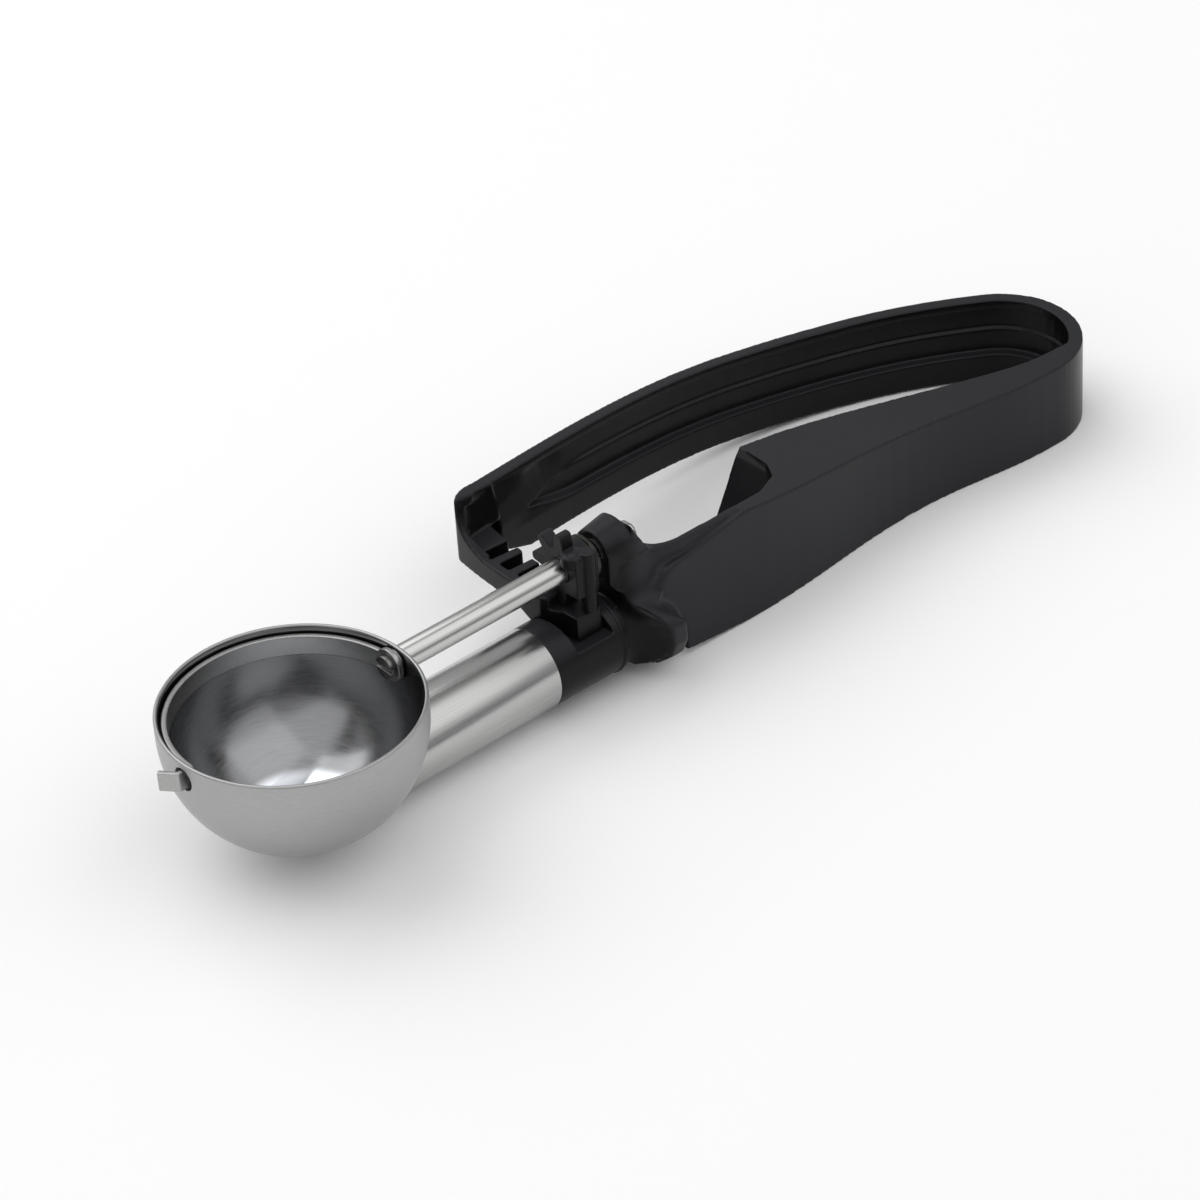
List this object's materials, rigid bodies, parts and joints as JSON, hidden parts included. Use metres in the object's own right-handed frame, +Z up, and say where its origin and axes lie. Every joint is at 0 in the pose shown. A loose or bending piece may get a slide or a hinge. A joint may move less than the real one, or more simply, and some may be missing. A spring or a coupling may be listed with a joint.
{
  "type": "lever ice cream scoop",
  "caption": "Squeeze-handle portion scoop: steel bowl on a neck tube, thin scraper blade on a rod, and a springy moulded loop handle that turns it by rack and sector pinion.",
  "frame": {"origin": "bottom centre of the bounding box, under the middle of the scoop, at the level of the grip's flat underside", "axes": "+X from the bowl back along the rod to the handle, +Y from the rod to the squeeze lever, +Z up out of the bowl's mouth"},
  "size_m": [0.2283, 0.0652, 0.0347],
  "materials": {
    "bowl_steel": "satin spun stainless steel, brighter and smoother inside",
    "tube_steel": "stainless tube, brushed along its length",
    "rod_steel": "polished stainless rod with fine drawn lines",
    "blade_steel": "stainless strip, satin, with bright cut edges",
    "black_plastic": "moulded black nylon with a soft sheen"
  },
  "bodies": {
    "handle": {"bowl": "bowl_steel", "neck_tube": "tube_steel", "collar": "black_plastic", "handle_grip": "black_plastic"},
    "spindle": {"rod": "rod_steel", "scraper_blade": "blade_steel", "pinion": "black_plastic", "retaining_washer": "rod_steel"},
    "lever": {"squeeze_lever": "black_plastic", "rack_arm": "black_plastic"}
  },
  "joints": [
    {"name": "squeeze", "type": "hinge", "parent": "handle", "child": "lever", "pos_m": [0.09756, -0.00078, 0.009], "axis": [0, 0, 1], "range_deg": [0, 9], "stiffness_Nm_per_rad": 4},
    {"name": "scrape", "type": "hinge", "parent": "handle", "child": "spindle", "pos_m": [-0.08664, -0.00858, 0.0271], "axis": [1, 0, 0], "range_deg": [-172, 0]}
  ],
  "couplings": [
    {"joint": "scrape", "follows": "squeeze", "ratio": -18.99}
  ]
}
